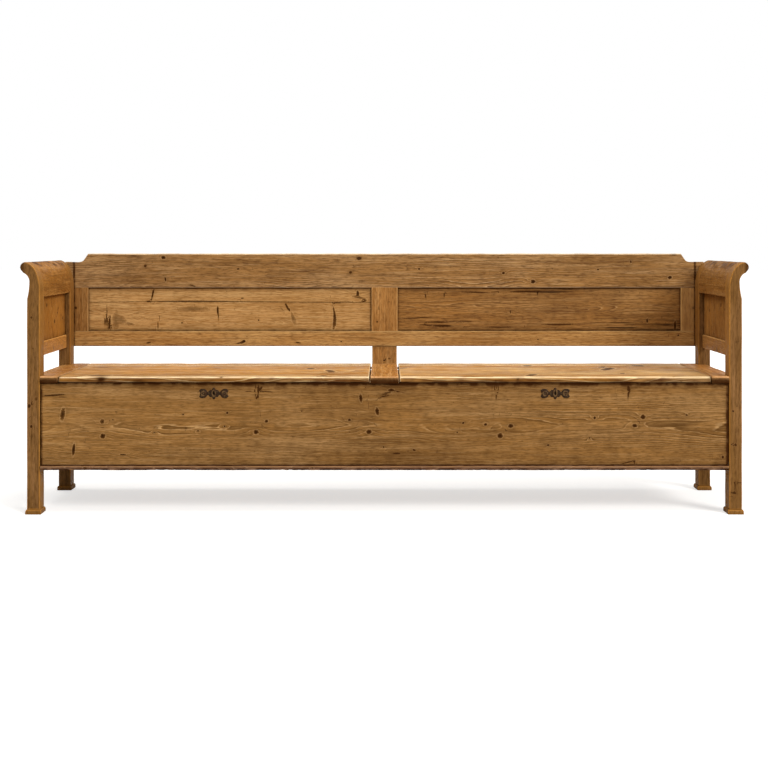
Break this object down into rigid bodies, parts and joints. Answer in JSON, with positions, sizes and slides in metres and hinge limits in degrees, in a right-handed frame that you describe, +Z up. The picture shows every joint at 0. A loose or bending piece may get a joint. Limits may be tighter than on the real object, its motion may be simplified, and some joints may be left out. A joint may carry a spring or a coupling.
{
  "type": "pull-out bench bed",
  "caption": "pine settle bench with scrolled arms and a panelled back; its front pulls out with slats as a bed under two hinged seat lids",
  "frame": {"origin": "the middle of the bench's footprint on the floor", "axes": "x to the right along the bench, y from the front to the back, z up"},
  "size_m": [2.395, 0.525, 0.8534],
  "materials": {
    "waxed_pine": "old waxed pine, satin",
    "seat_pine": "pine worn pale and smooth by use, waxed",
    "inner_pine": "bare planed pine, dull",
    "forged_iron": "dark forged iron, waxed",
    "steel": "old dark steel, dull"
  },
  "bodies": {
    "frame": {"post_front_left": "waxed_pine", "post_front_right": "waxed_pine", "post_rear_left": "waxed_pine", "post_rear_right": "waxed_pine", "foot_front_left": "waxed_pine", "foot_front_right": "waxed_pine", "foot_rear_left": "waxed_pine", "foot_rear_right": "waxed_pine", "arm_rail_left": "waxed_pine", "arm_rail_right": "waxed_pine", "arm_panel_left": "waxed_pine", "arm_panel_right": "waxed_pine", "arm_lower_rail_left": "waxed_pine", "arm_lower_rail_right": "waxed_pine", "end_board_left": "waxed_pine", "end_board_right": "waxed_pine", "back_board": "inner_pine", "end_ledgers": "inner_pine", "centre_bearer": "inner_pine", "crest_rail": "waxed_pine", "back_lower_rail": "waxed_pine", "back_stile_left": "waxed_pine", "back_stile_right": "waxed_pine", "back_muntin": "waxed_pine", "back_panel_left": "waxed_pine", "back_panel_right": "waxed_pine", "centre_post": "waxed_pine", "centre_seat_block": "seat_pine", "seat_end_strip_left": "seat_pine", "seat_end_strip_right": "seat_pine", "rear_seat_rail_left": "seat_pine", "rear_seat_rail_right": "seat_pine", "lid_pins": "steel", "slat_bearer": "inner_pine", "rear_slat_ledger": "inner_pine", "fixed_slats": "inner_pine"},
    "bed": {"front_panel": "waxed_pine", "front_moulding": "waxed_pine", "bed_side_left": "inner_pine", "bed_side_right": "inner_pine", "slat_cleat": "inner_pine", "slat_tie": "inner_pine", "bed_slats": "inner_pine", "lock_plate_left": "steel", "lock_plate_right": "steel", "escutcheons": "forged_iron", "leg_pins": "steel"},
    "lid_left": {"seat_lid_left": "seat_pine", "lid_battens_left": "inner_pine", "lid_staple_left": "steel"},
    "bolt_left": {"lock_bolt_left": "steel"},
    "leg_left": {"prop_leg_left": "inner_pine"},
    "lid_right": {"seat_lid_right": "seat_pine", "lid_battens_right": "inner_pine", "lid_staple_right": "steel"},
    "bolt_right": {"lock_bolt_right": "steel"},
    "leg_right": {"prop_leg_right": "inner_pine"}
  },
  "joints": [
    {"name": "bed_slide", "type": "slide", "parent": "frame", "child": "bed", "axis": [0, -1, 0], "range_m": [0, 0.3295]},
    {"name": "lid_left_hinge", "type": "hinge", "parent": "frame", "child": "lid_left", "pos_m": [-0.561, 0.16, 0.443], "axis": [-1, 0, 0], "range_deg": [0, 98]},
    {"name": "bolt_left_slide", "type": "slide", "parent": "bed", "child": "bolt_left", "axis": [-1, 0, 0], "range_m": [0, 0.015]},
    {"name": "leg_left_fold", "type": "hinge", "parent": "bed", "child": "leg_left", "pos_m": [-0.9, -0.216, 0.184], "axis": [0, 1, 0], "range_deg": [0, 90]},
    {"name": "lid_right_hinge", "type": "hinge", "parent": "frame", "child": "lid_right", "pos_m": [0.561, 0.16, 0.443], "axis": [-1, 0, 0], "range_deg": [0, 98]},
    {"name": "bolt_right_slide", "type": "slide", "parent": "bed", "child": "bolt_right", "axis": [1, 0, 0], "range_m": [0, 0.015]},
    {"name": "leg_right_fold", "type": "hinge", "parent": "bed", "child": "leg_right", "pos_m": [0.9, -0.216, 0.184], "axis": [0, -1, 0], "range_deg": [0, 90]}
  ]
}
